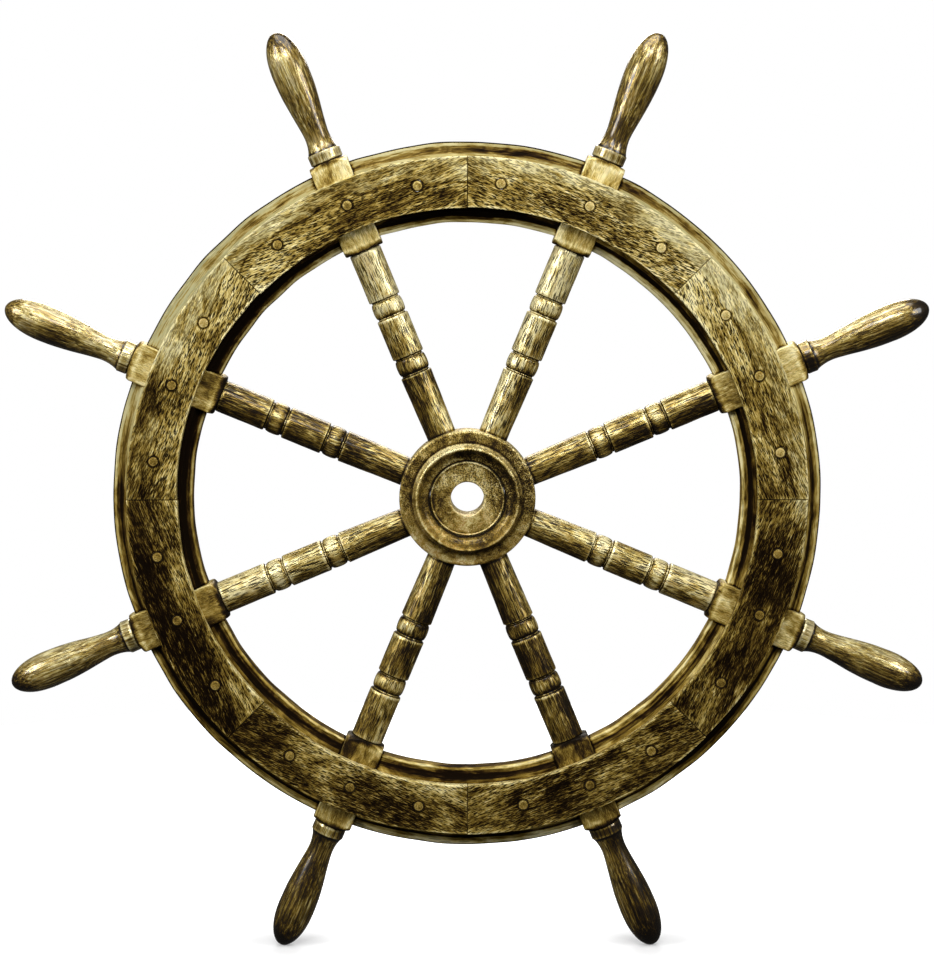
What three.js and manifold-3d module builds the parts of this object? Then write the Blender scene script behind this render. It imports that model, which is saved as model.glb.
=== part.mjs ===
// A 36 inch ship's steering wheel in wood: a turned hub, eight one-piece spokes with hand grips,
// and a rim of three layers of felloes pegged together through the spokes' square blocks.
// Millimetres. The wheel stands upright: its axis is Y, the helmsman stands at -Y, and Z is up.
import * as THREE from "three";
import { mergeVertices } from "three/addons/utils/BufferGeometryUtils.js";
import Module from "manifold-3d";

const wasm = await Module();
wasm.setup();

// Wheel
const SPOKES = 8;
const PITCH = 360 / SPOKES; // degrees from one spoke to the next
const TIP_RADIUS = 457.2; // half of 36 inches, measured over the grips
const GAP = 0.3; // clearance of glued or pegged faces

// Rim
const RIM_OUTER = 324.8;
const RIM_INNER = 252.6;
const MIDDLE_HALF = 17.4; // half the thickness of the middle layer of felloes
const LIP_HALF = 9.4; // half the thickness of the rim at its two edges, below the coves
const LIP_ROUND = 1.4;
const COVE_RADIUS = 8;
const OUTER_LIP = 3; // flat strip between the outer edge and its cove
const INNER_LIP = 1.8;
const FACE_OUTER = 311.6; // the front and rear felloes are narrower than the middle ones
const FACE_INNER = 265.2;
const FACE_HALF = 25.4; // half of the rim's 2 inch thickness

// Pegs: one through each spoke's block, and one on each side of each joint of the faces
const PEG_RADIUS = 5.4;
const PEG_CIRCLE = 288.3;
// Degrees before and after each joint, and millimetres off each spoke's line: bored by eye.
const PEGS_BY_JOINT = [
  [9, 6],
  [7.6, 9.3],
  [8.6, 10],
  [9, 9],
  [10.3, 9],
  [10.4, 8.5],
  [10.5, 7],
  [11, 8.5],
];
const PEG_OFF_SPOKE = [0, -3, -4, -3, -2, -1, -6, 2];

// Spoke, along its own length from the wheel's centre
const TENON_RADIUS = 8;
const TENON_START = 37;
const TENON_OVERLAP = 8; // how far the tenon runs on inside the barrel
const BARREL_RADIUS = 14.8;
const BARREL_AT_HUB = 13.5;
const SCRIBE_ALLOWANCE = 6; // barrel inside the hub's circle, cut away to the hub's curve
const GROOVE_RADIUS = 12.8;
const GROOVE_WIDTH = 1.8;
const GROOVE_EDGE = 0.8; // length of the broken edge beside a groove
const BEAD_LENGTH = 14.2;
const BEAD_RADIUS = 14.6;
const BEAD_SHOULDER = 3; // length of each sloping side of a bead
const BEAD_STARTS = [125.2, 181.4];
const BLOCK_START = 244.6;
const BLOCK_END = 331.4;
const BLOCK_WIDTH = 36;
const BLOCK_THICKNESS = 2 * (MIDDLE_HALF - GAP);
const SHOULDER_LENGTH = 5.2; // turned ends of the square block
const SHOULDER_RADIUS = 17.2;
const BLOCK_OVERLAP = 1; // how far the turned outline runs on inside the block
const COLLAR_RADIUS = 15.3;
const COLLAR_START = 331.9;
const COLLAR_END = 342.3;
const GRIP_FOOT_RADIUS = 13.2;
const GRIP_FOOT_AT = 343.8;
const NECK_RADIUS = 11.4;
const NECK_START = 350;
const NECK_AT = 355;
const GRIP_RADIUS = 17.1;
const GRIP_AT = 416;
const SWELL_STEPS = [0.12, 0.36, 0.66, 1]; // shares of the way from the neck to the widest place
const GRIP_END_ANGLES = [22, 45, 66, 80, 90]; // where the round end has its facets' corners

// Hub
const HUB_RADIUS = 62.5;
const HUB_HALF = 16;
const HUB_EDGE_ROUND = 3;
const SOCKET_START = 33; // the spokes' sockets open into the hole for the boss
const RING_OUTER = 51; // raised moulding on each face
const RING_INNER = 34.6;
// Radius and height of the moulding: up its outer side, over the crest and down the dish.
const RING_OUTLINE = [[50.2, 22.5], [48.4, 27], [45.2, 27], [43.2, 23.5], [38.6, 18.6], [34.6, 16.9]];
const BOSS_RADIUS = 34.2;
const BOSS_HALF = 17;
const BORE_RADIUS = 15.3;
const BORE_EDGE_ROUND = 1.2;

// Facets
const SPOKE_SIDES = 10;
const PEG_SIDES = 10;
const HUB_SIDES = 32; // a whole number of facets from one spoke to the next
const RIM_SIDES = 48;

// Cuts
const CUT_OVERRUN = 20; // how far a cutter runs past the wood on each side
const WEDGE_REACH = 1.3 * RIM_OUTER;
const WEDGE_STEPS = 4;
const PEG_ANGLE_REACH = 5; // degrees: only the pegs of a spoke's own block lie this near its line

const WOOD = {
  face: { color: 0x8a7a48, roughness: 0.55 },
  middle: { color: 0x6b5a30, roughness: 0.5 },
  spoke: { color: 0x8c7a44, roughness: 0.38 },
  peg: { color: 0xa89350, roughness: 0.5 },
  hub: { color: 0x7d6b38, roughness: 0.45 },
};

const radians = THREE.MathUtils.degToRad;

// Solids and meshes

function solidOf(geometry) {
  const bare = geometry.clone();
  bare.deleteAttribute("normal");
  bare.deleteAttribute("uv");
  const merged = mergeVertices(bare, 1e-4);
  return new wasm.Manifold(
    new wasm.Mesh({
      numProp: 3,
      vertProperties: new Float32Array(merged.attributes.position.array),
      triVerts: new Uint32Array(merged.index.array),
    }),
  );
}

function geometryOf(solid) {
  const mesh = solid.getMesh();
  const geometry = new THREE.BufferGeometry();
  geometry.setAttribute("position", new THREE.BufferAttribute(mesh.vertProperties, 3));
  geometry.setIndex(new THREE.BufferAttribute(mesh.triVerts, 1));
  geometry.computeVertexNormals();
  return geometry;
}

function woodenMesh(name, solid, wood) {
  const material = new THREE.MeshStandardMaterial({ ...wood, metalness: 0 });
  const mesh = new THREE.Mesh(geometryOf(solid), material);
  mesh.name = name;
  return mesh;
}

// A turned solid: profile points are [radius, height] and its axis is Y.
function turned(profile, sides) {
  const points = profile.map(([radius, height]) => new THREE.Vector2(radius, height));
  return solidOf(new THREE.LatheGeometry(points, sides));
}

// The same with its axis along Z, as a spoke that points straight up.
function turnedUp(profile, sides) {
  const points = profile.map(([radius, height]) => new THREE.Vector2(radius, height));
  return solidOf(new THREE.LatheGeometry(points, sides).rotateX(Math.PI / 2));
}

// Points of an arc from one angle to another, in degrees.
function arc(centreX, centreY, radius, from, to, steps) {
  const points = [];
  for (let i = 0; i <= steps; i++) {
    const angle = radians(from + ((to - from) * i) / steps);
    points.push([centreX + radius * Math.cos(angle), centreY + radius * Math.sin(angle)]);
  }
  return points;
}

// The half of a profile below the wheel's mid plane, mirrored from the half above it.
function mirroredBelow(upper) {
  return upper.map(([radius, height]) => [radius, -height]).reverse();
}

// Places round the wheel: angles run clockwise from straight up, as the helmsman sees them.
function spokeAngle(index) {
  return (index + 0.5) * PITCH;
}

function onCircle(radius, degrees) {
  return [radius * Math.sin(radians(degrees)), radius * Math.cos(radians(degrees))];
}

function turnedTo(solid, degrees) {
  return solid.rotate([0, degrees, 0]);
}

// Pegs

function pegPlaces() {
  const places = [];
  for (let i = 0; i < SPOKES; i++) {
    const [before, after] = PEGS_BY_JOINT[i];
    places.push({ name: `joint_peg_${i + 1}a`, angle: i * PITCH - before });
    places.push({ name: `joint_peg_${i + 1}b`, angle: i * PITCH + after });
    const off = THREE.MathUtils.radToDeg(PEG_OFF_SPOKE[i] / PEG_CIRCLE);
    places.push({ name: `spoke_peg_${i + 1}`, angle: spokeAngle(i) + off });
  }
  return places;
}

const PEGS = pegPlaces();

function roundBar(radius, half, degrees) {
  const bar = turned([[0, -half], [radius, -half], [radius, half], [0, half]], PEG_SIDES);
  const [x, z] = onCircle(PEG_CIRCLE, degrees);
  return bar.translate([x, 0, z]);
}

function boredForPegs(solid, centre, reach) {
  let bored = solid;
  for (const peg of PEGS) {
    const apart = Math.abs(((peg.angle - centre + 540) % 360) - 180);
    if (apart < reach) {
      bored = bored.subtract(roundBar(PEG_RADIUS + GAP, 2 * FACE_HALF, peg.angle));
    }
  }
  return bored;
}

// Spokes

function spokeProfile() {
  const beads = BEAD_STARTS.flatMap((start) => {
    const end = start + BEAD_LENGTH;
    return [
      [BARREL_RADIUS, start - GROOVE_WIDTH - GROOVE_EDGE],
      [GROOVE_RADIUS, start - GROOVE_WIDTH],
      [GROOVE_RADIUS, start],
      [BEAD_RADIUS, start + BEAD_SHOULDER],
      [BEAD_RADIUS, end - BEAD_SHOULDER],
      [GROOVE_RADIUS, end],
      [GROOVE_RADIUS, end + GROOVE_WIDTH],
      [BARREL_RADIUS, end + GROOVE_WIDTH + GROOVE_EDGE],
    ];
  });
  return [
    [0, TENON_START],
    [TENON_RADIUS, TENON_START],
    [TENON_RADIUS, HUB_RADIUS - SCRIBE_ALLOWANCE],
    [BARREL_AT_HUB, HUB_RADIUS - SCRIBE_ALLOWANCE],
    ...beads,
    [BARREL_RADIUS, BLOCK_START + BLOCK_OVERLAP],
    [BARREL_RADIUS, BLOCK_END - BLOCK_OVERLAP],
    [COLLAR_RADIUS, COLLAR_START],
    [COLLAR_RADIUS, COLLAR_END],
    ...gripProfile(),
  ];
}

// The hand grip: a neck, a long swell and a round end.
function gripProfile() {
  const swell = SWELL_STEPS.map((share) => {
    const ease = (1 - Math.cos(Math.PI * share)) / 2;
    const radius = NECK_RADIUS + (GRIP_RADIUS - NECK_RADIUS) * ease;
    return [radius, NECK_AT + (GRIP_AT - NECK_AT) * share];
  });
  const end = GRIP_END_ANGLES.map((degrees) => {
    const angle = radians(degrees);
    return [GRIP_RADIUS * Math.cos(angle), GRIP_AT + (TIP_RADIUS - GRIP_AT) * Math.sin(angle)];
  });
  end[end.length - 1][0] = 0;
  return [[GRIP_FOOT_RADIUS, GRIP_FOOT_AT], [NECK_RADIUS, NECK_START], ...swell, ...end];
}

// The square block between the felloes, its ends turned to round shoulders.
function spokeBlock() {
  const length = BLOCK_END - BLOCK_START;
  const box = new THREE.BoxGeometry(BLOCK_WIDTH, BLOCK_THICKNESS, length);
  box.translate(0, 0, BLOCK_START + length / 2);
  const corner = Math.hypot(BLOCK_WIDTH, BLOCK_THICKNESS) / 2 + BLOCK_OVERLAP;
  const envelope = turnedUp(
    [
      [0, BLOCK_START],
      [SHOULDER_RADIUS, BLOCK_START],
      [corner, BLOCK_START + SHOULDER_LENGTH],
      [corner, BLOCK_END - SHOULDER_LENGTH],
      [SHOULDER_RADIUS, BLOCK_END],
      [0, BLOCK_END],
    ],
    SPOKE_SIDES,
  );
  return solidOf(box).intersect(envelope);
}

// One blank, turned and squared, its shoulder scribed to the hub and its tenon let into it.
function spokeBlank() {
  const hubRound = HUB_RADIUS + GAP;
  const hub = turned(
    [[0, -2 * HUB_HALF], [hubRound, -2 * HUB_HALF], [hubRound, 2 * HUB_HALF], [0, 2 * HUB_HALF]],
    HUB_SIDES,
  );
  const tenonEnd = HUB_RADIUS + TENON_OVERLAP;
  const tenon = turnedUp(
    [[0, TENON_START], [TENON_RADIUS, TENON_START], [TENON_RADIUS, tenonEnd], [0, tenonEnd]],
    SPOKE_SIDES,
  );
  return turnedUp(spokeProfile(), SPOKE_SIDES).add(spokeBlock()).subtract(hub).add(tenon);
}

function spokes() {
  const blank = spokeBlank();
  const meshes = [];
  for (let i = 0; i < SPOKES; i++) {
    const placed = boredForPegs(turnedTo(blank, spokeAngle(i)), spokeAngle(i), PEG_ANGLE_REACH);
    meshes.push(woodenMesh(`spoke_${i + 1}`, placed, WOOD.spoke));
  }
  return meshes;
}

// Rim

// The middle layer as one ring: flat edges, a cove on each of the four corners, flat faces.
function middleRing() {
  const round = LIP_HALF - LIP_ROUND;
  const outerCove = RIM_OUTER - OUTER_LIP;
  const innerCove = RIM_INNER + INNER_LIP;
  const upper = [
    [RIM_OUTER, round],
    [RIM_OUTER - LIP_ROUND, LIP_HALF],
    ...arc(outerCove, MIDDLE_HALF, COVE_RADIUS, -90, -180, 2),
    ...arc(innerCove, MIDDLE_HALF, COVE_RADIUS, 0, -90, 2),
    [RIM_INNER, round],
  ];
  const loop = [...upper, ...mirroredBelow(upper)];
  return turned([...loop, loop[0]], RIM_SIDES);
}

// The room that every spoke's block takes, with its clearance.
function blockRoom(degrees) {
  const length = RIM_OUTER - RIM_INNER + 2 * CUT_OVERRUN;
  const box = new THREE.BoxGeometry(BLOCK_WIDTH + 2 * GAP, 4 * FACE_HALF, length);
  box.translate(0, 0, (RIM_OUTER + RIM_INNER) / 2);
  return turnedTo(solidOf(box), degrees);
}

// A wedge of the whole rim between two angles, its two sides radial.
function wedge(from, to, sideGap) {
  const outline = [];
  for (let i = 0; i <= WEDGE_STEPS; i++) {
    outline.push(onCircle(WEDGE_REACH, from + ((to - from) * i) / WEDGE_STEPS));
  }
  const middle = onCircle(sideGap / 2 / Math.sin(radians((to - from) / 2)), (from + to) / 2);
  const shifted = outline.map(([x, z]) => new THREE.Vector2(x + middle[0], -(z + middle[1])));
  const shape = new THREE.Shape([new THREE.Vector2(middle[0], -middle[1]), ...shifted]);
  const geometry = new THREE.ExtrudeGeometry(shape, { depth: 4 * FACE_HALF, bevelEnabled: false });
  geometry.translate(0, 0, -2 * FACE_HALF);
  geometry.rotateX(-Math.PI / 2);
  return solidOf(geometry);
}

function middleFelloes() {
  const ring = middleRing();
  const meshes = [];
  for (let i = 0; i < SPOKES; i++) {
    const centre = i * PITCH;
    const cut = ring
      .intersect(wedge(centre - PITCH / 2, centre + PITCH / 2, 0))
      .subtract(blockRoom(centre - PITCH / 2))
      .subtract(blockRoom(centre + PITCH / 2));
    const felloe = boredForPegs(cut, centre, PITCH / 2 - PEG_ANGLE_REACH);
    meshes.push(woodenMesh(`middle_felloe_${i + 1}`, felloe, WOOD.middle));
  }
  return meshes;
}

function faceRing(side) {
  const inner = MIDDLE_HALF + GAP;
  const low = side < 0 ? -FACE_HALF : inner;
  const high = side < 0 ? -inner : FACE_HALF;
  const loop = [[FACE_OUTER, low], [FACE_OUTER, high], [FACE_INNER, high], [FACE_INNER, low]];
  return turned([...loop, loop[0]], RIM_SIDES);
}

// Each face felloe is centred on a spoke and butts its neighbours half way to the next one.
function faceFelloes(prefix, side) {
  const ring = faceRing(side);
  const meshes = [];
  for (let i = 0; i < SPOKES; i++) {
    const centre = spokeAngle(i);
    const cut = ring.intersect(wedge(centre - PITCH / 2, centre + PITCH / 2, GAP));
    const felloe = boredForPegs(cut, centre, PITCH / 2);
    meshes.push(woodenMesh(`${prefix}_felloe_${i + 1}`, felloe, WOOD.face));
  }
  return meshes;
}

function pegs() {
  return PEGS.map((peg) => woodenMesh(peg.name, roundBar(PEG_RADIUS, FACE_HALF, peg.angle), WOOD.peg));
}

// Hub

function hubCore() {
  const hole = BOSS_RADIUS + GAP;
  const socketEnd = HUB_RADIUS + CUT_OVERRUN;
  const upper = [
    ...arc(HUB_RADIUS - HUB_EDGE_ROUND, HUB_HALF - HUB_EDGE_ROUND, HUB_EDGE_ROUND, 0, 90, 2),
    [hole, HUB_HALF],
  ];
  const loop = [...upper, ...mirroredBelow(upper)];
  let core = turned([...loop, loop[0]], HUB_SIDES);
  const socket = turnedUp(
    [
      [0, SOCKET_START],
      [TENON_RADIUS + GAP, SOCKET_START],
      [TENON_RADIUS + GAP, socketEnd],
      [0, socketEnd],
    ],
    SPOKE_SIDES,
  );
  for (let i = 0; i < SPOKES; i++) {
    core = core.subtract(turnedTo(socket, spokeAngle(i)));
  }
  return core;
}

// A raised turned moulding: a step, a flat crest and a dished inner slope down to the boss.
function hubRing(side) {
  const base = HUB_HALF + GAP;
  const outline = [[RING_OUTER, base], ...RING_OUTLINE, [RING_INNER, base]];
  const loop = side > 0 ? outline : mirroredBelow(outline);
  return turned([...loop, loop[0]], HUB_SIDES);
}

function hubBoss() {
  const upper = [
    [BOSS_RADIUS, BOSS_HALF],
    [BORE_RADIUS + BORE_EDGE_ROUND, BOSS_HALF],
    [BORE_RADIUS, BOSS_HALF - BORE_EDGE_ROUND],
  ];
  const loop = [...upper, ...mirroredBelow(upper)];
  return turned([...loop, loop[0]], HUB_SIDES);
}

function hub() {
  return [
    woodenMesh("hub_core", hubCore(), WOOD.hub),
    woodenMesh("hub_front_ring", hubRing(-1), WOOD.hub),
    woodenMesh("hub_rear_ring", hubRing(1), WOOD.hub),
    woodenMesh("hub_boss", hubBoss(), WOOD.hub),
  ];
}

const wheel = new THREE.Group();
wheel.name = "ship_steering_wheel";
wheel.add(...hub(), ...spokes(), ...middleFelloes());
wheel.add(...faceFelloes("front", -1), ...faceFelloes("rear", 1), ...pegs());

export default wheel;
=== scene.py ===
"""The looks of the ship's steering wheel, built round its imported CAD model.

The wheel stands upright on two of its grips. +Z is up, the wheel's axis is Y, and the helmsman's side is -Y.
Lengths in this script are in millimetres until a mesh is made, which is in metres. Angles go clockwise from
the top of the wheel, in degrees, as seen from the helmsman's side.
"""

import math

import bmesh
import bpy
import numpy as np
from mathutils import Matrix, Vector


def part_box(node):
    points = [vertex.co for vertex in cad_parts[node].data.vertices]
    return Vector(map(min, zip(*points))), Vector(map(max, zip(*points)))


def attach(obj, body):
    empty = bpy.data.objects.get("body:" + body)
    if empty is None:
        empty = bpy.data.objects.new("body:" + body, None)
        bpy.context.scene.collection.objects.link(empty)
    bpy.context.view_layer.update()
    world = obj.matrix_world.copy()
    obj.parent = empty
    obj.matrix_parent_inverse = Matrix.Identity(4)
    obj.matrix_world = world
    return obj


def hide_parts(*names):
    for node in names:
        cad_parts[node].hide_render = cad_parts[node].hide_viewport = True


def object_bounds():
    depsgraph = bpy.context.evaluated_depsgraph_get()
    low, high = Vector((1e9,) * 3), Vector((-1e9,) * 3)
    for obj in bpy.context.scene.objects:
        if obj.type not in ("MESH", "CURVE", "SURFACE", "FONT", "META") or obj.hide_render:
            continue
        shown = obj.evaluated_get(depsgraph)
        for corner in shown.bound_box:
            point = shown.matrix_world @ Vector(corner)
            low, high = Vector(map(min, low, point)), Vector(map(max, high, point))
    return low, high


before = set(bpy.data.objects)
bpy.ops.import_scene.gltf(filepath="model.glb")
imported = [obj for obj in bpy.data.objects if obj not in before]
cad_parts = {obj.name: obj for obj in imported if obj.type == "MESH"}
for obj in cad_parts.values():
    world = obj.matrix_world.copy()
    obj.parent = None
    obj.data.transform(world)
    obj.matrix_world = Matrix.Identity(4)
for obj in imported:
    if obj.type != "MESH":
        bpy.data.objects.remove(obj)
cad_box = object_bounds()

MM = 0.001
SPOKES = 8
PITCH = 360 / SPOKES


# -------- measures taken from the frame


def vertices_of(node):
    """The vertices of a CAD node, in millimetres."""
    return np.array([v.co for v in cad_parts[node].data.vertices]) / MM


def reach(node):
    """How near a CAD node comes to the axis, and how far it reaches from it and from the middle plane."""
    x, y, z = vertices_of(node).T
    distances = np.hypot(x, z)
    return float(distances.min()), float(distances.max()), float(np.abs(y).max())


def centre_of(node):
    """The middle of a CAD node's box, in millimetres."""
    low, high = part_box(node)
    return (low + high) / 2 / MM


TIP_CLEARANCE = 0.3  # a round tip reaches further up than the faceted one
TENON_START, TIP_RADIUS, _ = reach("spoke_1")
TIP_RADIUS -= TIP_CLEARANCE
RIM_INNER, RIM_OUTER, MIDDLE_HALF = reach("middle_felloe_1")
FACE_INNER, FACE_OUTER, FACE_HALF = reach("front_felloe_1")
_, HUB_RADIUS, HUB_HALF = reach("hub_core")
RING_INNER, RING_OUTER, RING_TOP = reach("hub_front_ring")
BORE_RADIUS, BOSS_RADIUS, BOSS_HALF = reach("hub_boss")
PEG_RADIUS = float(np.ptp(vertices_of("joint_peg_1a")[:, 0]) / 2)

# -------- sizes of the details

GAP = 0.15  # clearance between glued pieces
END_ROUND = 0.5  # of every felloe
CUTTER_REACH = 5.0  # beyond the wood

# The rim's middle layer: its coves, the flats beside them, and how far it goes on unseen under the faces.
COVE = 8.0
OUTER_LIP = 3.0
INNER_LIP = 1.8
LIP_ROUND = 1.4
UNDER_FACE = 2.0
OUTER_BAND = 0.9  # how far inwards the dark edge of the rim reaches

# The rim's faces: how much they vary in width, and how deep their grain is worn hollow.
FACE_ROUND = 0.7
FACE_SHIFT = 0.5
FACE_TRIM = 0.4
HOLLOW_DEPTH = 0.4

# The spokes, from the hub outwards. A length that starts with a place is a distance from the wheel's axis.
TENON_RADIUS = 8.0
BARREL_AT_HUB = 13.5
BARREL_RADIUS = 14.85
BARREL_ROUND = 1.0
GROOVE_RADIUS = 12.8
GROOVE_WIDTH = 1.8
BEAD_LENGTH = 14.2
BEAD_STARTS = (125.2, 181.4)
BEAD_RADIUS = BARREL_RADIUS - 0.15
BLOCK_START = 244.6
BLOCK_END = 331.4
BLOCK_WIDTH = 36.0
BLOCK_THICKNESS = 34.2
BLOCK_TURNED = 5.3  # length of each of its turned ends
BLOCK_SHOULDER = 17.2
BLOCK_CORNER = 25.2
BLOCK_SWELL = 0.8
SQUARENESS = 30  # how sharp the corners of its section are
COLLAR_START = 332.3
COLLAR_END = 342.4
COLLAR_RADIUS = 15.3
GRIP_OUTLINE = [(343.2, 14.1), (346, 13.0), (350, 12.0), (355, 11.4), (361, 11.5), (372, 12.8), (387, 14.9),
                (402, 16.5), (418, 17.1)]
GRIP_END_POWER = 2.2

# The hub's rounded edges and the low rim round its boss.
CORE_ROUND = 2.4
BORE_ROUND = 1.5
BOSS_LIP = 0.45

# Seeds of the random waves: of the middle felloes' edges, of the faces' fine and broad hollows, edges and
# smooth band, and of the spokes. The rear faces have their own.
MIDDLE_SEED = 40
FINE_SEED, BROAD_SEED, FACE_EDGE_SEED, SMOOTH_SEED = 60, 90, 120, 150
SPOKE_SEED = 200
REAR_SEED = 20
# How far apart in the noise the pieces of a kind lie, so that no two show the same grain.
MIDDLE_APART, FACE_APART, PEG_APART, SPOKE_APART, HUB_APART = 137.0, 53.0, 11.0, 71.0, 7.0

# -------- how the paint lies, spoke by spoke

# How much gold is left, from 0 for bare dark wood to 1 for thick cream gold. Eight values are for spokes 1 to
# 8. Each of a spoke's three barrels has its own amount, from the hub outwards.
BARREL_GOLD = [
    [0.86, 0.49, 0.63, 0.47, 0.58, 0.54, 0.54, 0.55],
    [0.87, 0.33, 0.58, 0.28, 0.40, 0.61, 0.31, 0.54],
    [0.89, 0.48, 0.83, 0.37, 0.58, 0.81, 0.44, 0.91],
]
# How much lighter the clockwise side of each barrel is made than its middle, and the other side darker.
BARREL_TILT = [
    [-0.14, 0.02, 0.00, -0.20, 0.00, 0.00, -0.18, -0.04],
    [-0.06, 0.05, 0.11, 0.00, -0.22, -0.02, -0.12, 0.16],
    [-0.03, -0.03, -0.04, 0.22, -0.20, -0.02, -0.06, -0.06],
]
# The same for the hand grips, and how much lighter their clockwise side is made.
GRIP_GOLD = [0.66, 0.49, 0.54, 0.36, 0.54, 0.78, 0.74, 0.70]
GRIP_TILT = [0.06, 0.05, -0.01, 0.16, -0.10, 0.00, -0.18, -0.13]
# The same for the collars and for the square blocks, inside the rim and outside it.
COLLAR_GOLD = [0.90, 0.15, 0.73, 0.13, 0.57, 0.86, 0.80, 0.94]
INNER_BLOCK_GOLD = [0.76, 0.66, 0.60, 0.24, 0.40, 0.46, 0.62, 0.64]
OUTER_BLOCK_GOLD = [0.80, 0.78, 0.58, 0.44, 0.58, 0.64, 0.76, 0.74]
# The same for the rim's faces near their inner edge, in their middle and near their outer edge, every half
# pitch from the top, and how much smoother their outer band is.
FACE_GOLD = [
    [0.51, 0.58, 0.76, 0.36, 0.33, 0.12, 0.39, 0.38, 0.47, 0.56, 0.33, 0.32, 0.51, 0.49, 0.74, 0.14],
    [0.45, 0.62, 0.88, 0.38, 0.46, 0.18, 0.41, 0.38, 0.41, 0.44, 0.12, 0.24, 0.35, 0.53, 0.50, 0.22],
    [0.69, 0.80, 0.98, 0.63, 0.78, 0.14, 0.36, 0.40, 0.31, 0.36, 0.16, 0.20, 0.17, 0.49, 0.76, 0.43],
]
FACE_SMOOTH = [0.5, 0.5, 0.8, 0.45, 0.4, 0.2, 0.2, 0.2, 0.1, 0.1, 0.0, 0.0, 0.3, 0.6, 0.8, 0.6]
# The same for the rim's outer coves, and for its inner coves and lip.
OUTER_COVE_GOLD = [0.44, 0.20, 0.56, 0.62, 0.26, 0.54, 0.14, 0.94,
                   0.62, 0.74, 0.34, 0.26, 0.26, 0.88, 0.52, 0.44]
INNER_LIP_GOLD = [0.20, 0.84, 0.80, 0.64, 0.38, 0.66, 0.38, 0.38,
                  0.23, 0.30, 0.14, 0.20, 0.10, 0.06, 0.02, 0.92]
# How grey the paint of the coves is.
COVE_ASH = [0.6, 0.9, 0.8, 0.3, 0.2, 0.0, 0.0, 0.0, 0.0, 0.0, 0.0, 0.0, 0.2, 0.9, 1.0, 0.7]

# A peg has a share of the gold round it and a random amount of its own, and never less than the least.
PEG_SHARE, PEG_SPREAD, PEG_LEAST = 0.75, 0.24, 0.4

# How much gold is left on the hub's core, rings and boss, and how smooth it is, every eighth of a turn.
HUB_CORE_GOLD = [0.28, 0.52, 0.42, 0.54, 0.68, 0.70, 0.40, 0.38]
HUB_RING_GOLD = [0.46, 0.44, 0.32, 0.34, 0.42, 0.62, 0.46, 0.78]
HUB_BOSS_GOLD = [0.68, 0.58, 0.54, 0.62, 0.68, 0.60, 0.44, 0.58]
HUB_SMOOTH = [0.1, 0.2, 0.1, 0.6, 1.0, 0.9, 0.4, 0.2]
# The bore's wall is painted pale all round, as painted light standing in for the light on its lower wall.
BORE_PAINTED_LIGHT = 0.85
# Painted light and shade: how much lighter the hub, a grip or a barrel is painted where it faces up and
# darker where it faces down, how soon that changes round a barrel, and how much less gold the spokes have all
# round.
HUB_PAINTED_TOP_LIGHT = 0.3
GRIP_PAINTED_TOP_LIGHT = 0.35
BARREL_PAINTED_TOP_LIGHT = 0.2
BARREL_PAINTED_LIGHT_STEEPNESS = 4
SPOKE_LESS_GOLD = 0.1


def round_the_wheel(values, angles):
    """Values given at equal steps clockwise from the top, read at these angles."""
    steps = len(values)
    at = (np.asarray(angles) % 360) / 360 * steps
    return np.interp(at, np.arange(steps + 1), list(values) + [values[0]])


# -------- meshes

MERGED = 1e-6  # metres


def spoke_angle(i):
    return (i + 0.5) * PITCH


def polar(points):
    """The points' distances from the wheel's axis and their angles."""
    return np.hypot(points[:, 0], points[:, 2]), np.degrees(np.arctan2(points[:, 0], points[:, 2]))


def turned_from(angle, centre):
    """How far the angles lie clockwise from a centre, from -180 to 180."""
    return (angle - centre + 180) % 360 - 180


def in_spoke_frame(points, angle):
    """Points as distance outwards along that angle, across it clockwise, and depth."""
    s, c = math.sin(math.radians(angle)), math.cos(math.radians(angle))
    x, y, z = points.T
    return np.stack([x * s + z * c, x * c - z * s, y], 1)


def from_spoke_frame(points, angle):
    s, c = math.sin(math.radians(angle)), math.cos(math.radians(angle))
    out, across, y = points.T
    return np.stack([out * s + across * c, y, out * c - across * s], 1)


def added(name, data):
    made = bpy.data.objects.new(name, data)
    bpy.context.scene.collection.objects.link(made)
    return made


def grid_object(name, rows, join_rows=False, cap=True):
    """A closed surface through rows of points. Each row is a closed loop. The first and last rows are filled,
    or joined to each other."""
    rows = np.asarray(rows, float)
    count, around = rows.shape[:2]
    points = rows.reshape(-1, 3) * MM
    here = np.arange(around)
    after = (here + 1) % around
    faces = []
    for i in range(count if join_rows else count - 1):
        low, high = i * around, ((i + 1) % count) * around
        faces += np.stack([low + here, low + after, high + after, high + here], 1).tolist()
    if cap and not join_rows:
        faces.append(here[::-1].tolist())
        faces.append(((count - 1) * around + here).tolist())
    mesh = bpy.data.meshes.new(name)
    mesh.from_pydata(points.tolist(), [], faces)
    tidy = bmesh.new()
    tidy.from_mesh(mesh)
    bmesh.ops.remove_doubles(tidy, verts=tidy.verts, dist=MERGED)
    bmesh.ops.recalc_face_normals(tidy, faces=tidy.faces)
    tidy.to_mesh(mesh)
    tidy.free()
    return added(name, mesh)


def lathe_rows(profile, sides, centre=(0, 0)):
    """Rows of points for a profile of (radius, depth) turned about an axis along Y."""
    x, z = centre
    angles = np.arange(sides) * 2 * math.pi / sides
    return [[(x + r * math.sin(a), y, z + r * math.cos(a)) for a in angles] for r, y in profile]


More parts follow.
